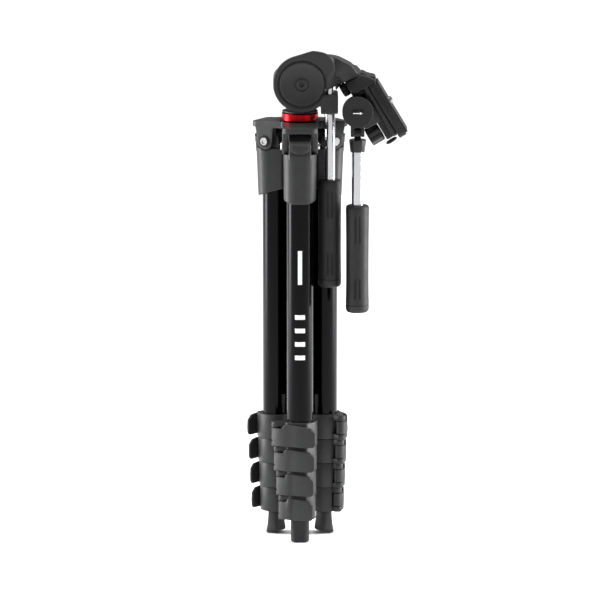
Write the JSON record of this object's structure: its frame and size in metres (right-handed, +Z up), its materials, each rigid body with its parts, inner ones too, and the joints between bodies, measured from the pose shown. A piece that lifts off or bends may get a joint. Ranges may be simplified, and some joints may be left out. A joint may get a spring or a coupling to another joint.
{
  "type": "folding tripod with three-way head",
  "caption": "Compact folding tripod with nested lever-lock legs, a lifting centre column and a three-way tilt head with fold-down handles.",
  "frame": {"origin": "on the floor, on the axis of the centre column", "axes": "+Z up along the column and the folded legs; -Y towards the front leg; +X towards the folded camera platform"},
  "size_m": [0.1409, 0.084, 0.4364],
  "materials": {
    "moulded_body": "fine-textured glass-filled moulding, charcoal",
    "lever_plastic": "smooth matte moulding",
    "leg_tube": "gloss black anodised",
    "bright_metal": "polished",
    "red_anodised": "gloss red anodised",
    "plate_metal": "satin black anodised",
    "knob_plastic": "satin black moulding",
    "grip_rubber": "soft black rubber",
    "foot_rubber": "hard black rubber"
  },
  "bodies": {
    "spider": {"spider": "moulded_body", "leg_hinge_bolts": "bright_metal"},
    "lock_ring": {"column_lock_ring": "red_anodised"},
    "column": {"center_column": "leg_tube", "column_end_cap": "moulded_body"},
    "pan_head": {"pan_base": "moulded_body", "tilt_drum": "moulded_body", "drum_cap": "moulded_body"},
    "tilt_arm": {"tilt_arm": "moulded_body"},
    "tilt_handle": {"tilt_handle_rod": "bright_metal", "tilt_handle_grip": "grip_rubber"},
    "platform": {"camera_platform": "moulded_body", "roll_shaft": "bright_metal"},
    "plate": {"quick_release_plate": "plate_metal", "plate_pad": "grip_rubber"},
    "camera_screw": {"camera_screw": "bright_metal"},
    "plate_lock_knob": {"plate_lock_knob": "knob_plastic"},
    "roll_friction_knob": {"roll_friction_knob": "knob_plastic"},
    "plate_safety_knob": {"plate_safety_knob": "bright_metal"},
    "roll_hub": {"roll_hub": "moulded_body"},
    "roll_handle": {"roll_handle_rod": "bright_metal", "roll_handle_grip": "grip_rubber"},
    "fold_collar": {"fold_lock_collar": "knob_plastic"},
    "front_leg": {"front_yoke": "moulded_body", "front_section_1": "leg_tube"},
    "front_latch": {"front_angle_latch": "moulded_body"},
    "front_tube_2": {"front_section_2": "leg_tube"},
    "front_tube_3": {"front_section_3": "leg_tube"},
    "front_tube_4": {"front_section_4": "leg_tube"},
    "front_tube_5": {"front_section_5": "leg_tube", "front_foot": "foot_rubber"},
    "front_lever_1": {"front_lever_1": "lever_plastic"},
    "front_lever_2": {"front_lever_2": "lever_plastic"},
    "front_lever_3": {"front_lever_3": "lever_plastic"},
    "front_lever_4": {"front_lever_4": "lever_plastic"},
    "right_leg": {"right_yoke": "moulded_body", "right_section_1": "leg_tube"},
    "right_latch": {"right_angle_latch": "moulded_body"},
    "right_tube_2": {"right_section_2": "leg_tube"},
    "right_tube_3": {"right_section_3": "leg_tube"},
    "right_tube_4": {"right_section_4": "leg_tube"},
    "right_tube_5": {"right_section_5": "leg_tube", "right_foot": "foot_rubber"},
    "right_lever_1": {"right_lever_1": "lever_plastic"},
    "right_lever_2": {"right_lever_2": "lever_plastic"},
    "right_lever_3": {"right_lever_3": "lever_plastic"},
    "right_lever_4": {"right_lever_4": "lever_plastic"},
    "left_leg": {"left_yoke": "moulded_body", "left_section_1": "leg_tube"},
    "left_latch": {"left_angle_latch": "moulded_body"},
    "left_tube_2": {"left_section_2": "leg_tube"},
    "left_tube_3": {"left_section_3": "leg_tube"},
    "left_tube_4": {"left_section_4": "leg_tube"},
    "left_tube_5": {"left_section_5": "leg_tube", "left_foot": "foot_rubber"},
    "left_lever_1": {"left_lever_1": "lever_plastic"},
    "left_lever_2": {"left_lever_2": "lever_plastic"},
    "left_lever_3": {"left_lever_3": "lever_plastic"},
    "left_lever_4": {"left_lever_4": "lever_plastic"}
  },
  "joints": [
    {"name": "lock_ring_turn", "type": "hinge", "parent": "spider", "child": "lock_ring", "pos_m": [0, 0, 0.375], "axis": [0, 0, 1], "range_deg": [0, 90]},
    {"name": "column_lift", "type": "slide", "parent": "spider", "child": "column", "axis": [0, 0, 1], "range_m": [0, 0.2]},
    {"name": "pan_turn", "type": "hinge", "parent": "column", "child": "pan_head", "pos_m": [0, 0, 0.38], "axis": [0, 0, 1], "range_deg": [-4, 4]},
    {"name": "head_tilt", "type": "hinge", "parent": "pan_head", "child": "tilt_arm", "pos_m": [0.0016, -0.006, 0.4068], "axis": [0, -1, 0], "range_deg": [0, 125]},
    {"name": "tilt_handle_turn", "type": "hinge", "parent": "tilt_arm", "child": "tilt_handle", "pos_m": [0.02605, -0.015, 0.38], "axis": [0, 0, 1], "range_deg": [-90, 90]},
    {"name": "head_roll", "type": "hinge", "parent": "tilt_arm", "child": "platform", "pos_m": [0.0442, -0.006, 0.4104], "axis": [0.515, 0, -0.8572], "range_deg": [-90, 6]},
    {"name": "plate_release", "type": "slide", "parent": "platform", "child": "plate", "axis": [0.515, 0, -0.8572], "range_m": [0, 0.045]},
    {"name": "camera_screw_turn", "type": "hinge", "parent": "plate", "child": "camera_screw", "pos_m": [0.07911, -0.006, 0.39113], "axis": [0.8572, 0, 0.515], "range_deg": [-180, 180]},
    {"name": "plate_lock_turn", "type": "hinge", "parent": "platform", "child": "plate_lock_knob", "pos_m": [0.06575, -0.006, 0.36094], "axis": [0.8572, 0, 0.515], "range_deg": [-90, 90]},
    {"name": "roll_friction_turn", "type": "hinge", "parent": "platform", "child": "roll_friction_knob", "pos_m": [0.03983, -0.006, 0.40019], "axis": [0.8572, 0, 0.515], "range_deg": [-180, 180]},
    {"name": "plate_safety_pull", "type": "slide", "parent": "platform", "child": "plate_safety_knob", "axis": [0.515, 0, -0.8572], "range_m": [0, 0.003], "stiffness_N_per_m": 300},
    {"name": "roll_handle_turn", "type": "hinge", "parent": "platform", "child": "roll_hub", "pos_m": [0.0502, -0.025, 0.383], "axis": [0, -1, 0], "range_deg": [0, 38]},
    {"name": "roll_handle_fold", "type": "hinge", "parent": "roll_hub", "child": "roll_handle", "pos_m": [0.0502, -0.025, 0.3645], "axis": [-1, 0, 0], "range_deg": [0, 90]},
    {"name": "fold_collar_slide", "type": "slide", "parent": "roll_handle", "child": "fold_collar", "axis": [0, 0, -1], "range_m": [0, 0.008]},
    {"name": "front_leg_spread", "type": "hinge", "parent": "spider", "child": "front_leg", "pos_m": [0, -0.027, 0.3533], "axis": [-1, 0, 0], "range_deg": [0, 24]},
    {"name": "front_latch_pull", "type": "slide", "parent": "front_leg", "child": "front_latch", "axis": [0, -1, 0], "range_m": [0, 0.0015], "stiffness_N_per_m": 400},
    {"name": "front_tube_2_slide", "type": "slide", "parent": "front_leg", "child": "front_tube_2", "axis": [0, 0, -1], "range_m": [0, 0.217]},
    {"name": "front_tube_3_slide", "type": "slide", "parent": "front_tube_2", "child": "front_tube_3", "axis": [0, 0, -1], "range_m": [0, 0.237]},
    {"name": "front_tube_4_slide", "type": "slide", "parent": "front_tube_3", "child": "front_tube_4", "axis": [0, 0, -1], "range_m": [0, 0.257]},
    {"name": "front_tube_5_slide", "type": "slide", "parent": "front_tube_4", "child": "front_tube_5", "axis": [0, 0, -1], "range_m": [0, 0.277]},
    {"name": "front_lever_1_open", "type": "hinge", "parent": "front_leg", "child": "front_lever_1", "pos_m": [-0.021, -0.0295, 0.0983], "axis": [0, 0, -1], "range_deg": [0, 110]},
    {"name": "front_lever_2_open", "type": "hinge", "parent": "front_tube_2", "child": "front_lever_2", "pos_m": [-0.01897, -0.0295, 0.0763], "axis": [0, 0, -1], "range_deg": [0, 110]},
    {"name": "front_lever_3_open", "type": "hinge", "parent": "front_tube_3", "child": "front_lever_3", "pos_m": [-0.01694, -0.0295, 0.0543], "axis": [0, 0, -1], "range_deg": [0, 110]},
    {"name": "front_lever_4_open", "type": "hinge", "parent": "front_tube_4", "child": "front_lever_4", "pos_m": [-0.01491, -0.0295, 0.0323], "axis": [0, 0, -1], "range_deg": [0, 110]},
    {"name": "right_leg_spread", "type": "hinge", "parent": "spider", "child": "right_leg", "pos_m": [0.02338, 0.0135, 0.3533], "axis": [0.5, -0.866, 0], "range_deg": [0, 24]},
    {"name": "right_latch_pull", "type": "slide", "parent": "right_leg", "child": "right_latch", "axis": [0.866, 0.5, 0], "range_m": [0, 0.0015], "stiffness_N_per_m": 400},
    {"name": "right_tube_2_slide", "type": "slide", "parent": "right_leg", "child": "right_tube_2", "axis": [0, 0, -1], "range_m": [0, 0.217]},
    {"name": "right_tube_3_slide", "type": "slide", "parent": "right_tube_2", "child": "right_tube_3", "axis": [0, 0, -1], "range_m": [0, 0.237]},
    {"name": "right_tube_4_slide", "type": "slide", "parent": "right_tube_3", "child": "right_tube_4", "axis": [0, 0, -1], "range_m": [0, 0.257]},
    {"name": "right_tube_5_slide", "type": "slide", "parent": "right_tube_4", "child": "right_tube_5", "axis": [0, 0, -1], "range_m": [0, 0.277]},
    {"name": "right_lever_1_open", "type": "hinge", "parent": "right_leg", "child": "right_lever_1", "pos_m": [0.03605, -0.00344, 0.0983], "axis": [0, 0, -1], "range_deg": [0, 110]},
    {"name": "right_lever_2_open", "type": "hinge", "parent": "right_tube_2", "child": "right_lever_2", "pos_m": [0.03503, -0.00168, 0.0763], "axis": [0, 0, -1], "range_deg": [0, 110]},
    {"name": "right_lever_3_open", "type": "hinge", "parent": "right_tube_3", "child": "right_lever_3", "pos_m": [0.03402, 0.00008, 0.0543], "axis": [0, 0, -1], "range_deg": [0, 110]},
    {"name": "right_lever_4_open", "type": "hinge", "parent": "right_tube_4", "child": "right_lever_4", "pos_m": [0.033, 0.00184, 0.0323], "axis": [0, 0, -1], "range_deg": [0, 110]},
    {"name": "left_leg_spread", "type": "hinge", "parent": "spider", "child": "left_leg", "pos_m": [-0.02338, 0.0135, 0.3533], "axis": [0.5, 0.866, 0], "range_deg": [0, 24]},
    {"name": "left_latch_pull", "type": "slide", "parent": "left_leg", "child": "left_latch", "axis": [-0.866, 0.5, 0], "range_m": [0, 0.0015], "stiffness_N_per_m": 400},
    {"name": "left_tube_2_slide", "type": "slide", "parent": "left_leg", "child": "left_tube_2", "axis": [0, 0, -1], "range_m": [0, 0.217]},
    {"name": "left_tube_3_slide", "type": "slide", "parent": "left_tube_2", "child": "left_tube_3", "axis": [0, 0, -1], "range_m": [0, 0.237]},
    {"name": "left_tube_4_slide", "type": "slide", "parent": "left_tube_3", "child": "left_tube_4", "axis": [0, 0, -1], "range_m": [0, 0.257]},
    {"name": "left_tube_5_slide", "type": "slide", "parent": "left_tube_4", "child": "left_tube_5", "axis": [0, 0, -1], "range_m": [0, 0.277]},
    {"name": "left_lever_1_open", "type": "hinge", "parent": "left_leg", "child": "left_lever_1", "pos_m": [-0.01505, 0.03294, 0.0983], "axis": [0, 0, -1], "range_deg": [0, 110]},
    {"name": "left_lever_2_open", "type": "hinge", "parent": "left_tube_2", "child": "left_lever_2", "pos_m": [-0.01606, 0.03118, 0.0763], "axis": [0, 0, -1], "range_deg": [0, 110]},
    {"name": "left_lever_3_open", "type": "hinge", "parent": "left_tube_3", "child": "left_lever_3", "pos_m": [-0.01708, 0.02942, 0.0543], "axis": [0, 0, -1], "range_deg": [0, 110]},
    {"name": "left_lever_4_open", "type": "hinge", "parent": "left_tube_4", "child": "left_lever_4", "pos_m": [-0.01809, 0.02766, 0.0323], "axis": [0, 0, -1], "range_deg": [0, 110]}
  ]
}
